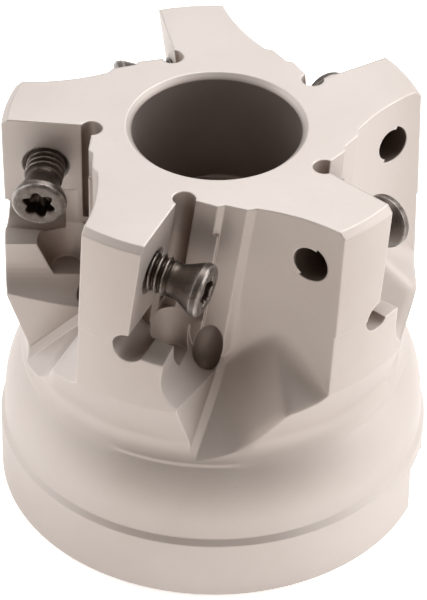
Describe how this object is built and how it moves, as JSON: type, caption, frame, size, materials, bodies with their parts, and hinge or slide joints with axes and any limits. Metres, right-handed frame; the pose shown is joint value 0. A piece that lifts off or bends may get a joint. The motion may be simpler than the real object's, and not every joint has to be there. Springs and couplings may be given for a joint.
{
  "type": "face mill",
  "caption": "Shell-mount indexable face mill: a keyed, bead-blasted steel cutter body with empty insert pockets and their half-unscrewed insert screws",
  "frame": {"origin": "centre of the hub's flat mounting face, on the rotation axis", "axes": "+Z runs along the rotation axis from the mounting face to the cutting end; the drive slot runs along X"},
  "size_m": [0.0382, 0.0382, 0.0372],
  "materials": {
    "body": "satin, bead-blasted tool steel with a warm grey cast",
    "screw": "black oxide over steel, worn bright at the rim and thread crests"
  },
  "bodies": {
    "cutter": {"cutter_body": "body"},
    "screw_1": {"insert_screw_1": "screw"},
    "screw_2": {"insert_screw_2": "screw"},
    "screw_3": {"insert_screw_3": "screw"},
    "screw_4": {"insert_screw_4": "screw"},
    "screw_5": {"insert_screw_5": "screw"}
  },
  "joints": [
    {"name": "screw_1_travel", "type": "slide", "parent": "cutter", "child": "screw_1", "axis": [-0.6502, 0.749, -0.1274], "range_m": [-0.0028, 0.0026]},
    {"name": "screw_2_travel", "type": "slide", "parent": "cutter", "child": "screw_2", "axis": [-0.9133, -0.3869, -0.1274], "range_m": [-0.0028, 0.0026]},
    {"name": "screw_3_travel", "type": "slide", "parent": "cutter", "child": "screw_3", "axis": [0.0857, -0.9881, -0.1274], "range_m": [-0.0028, 0.0026]},
    {"name": "screw_4_travel", "type": "slide", "parent": "cutter", "child": "screw_4", "axis": [0.9663, -0.2238, -0.1274], "range_m": [-0.0028, 0.0026]},
    {"name": "screw_5_travel", "type": "slide", "parent": "cutter", "child": "screw_5", "axis": [0.5115, 0.8498, -0.1274], "range_m": [-0.0028, 0.0026]}
  ]
}
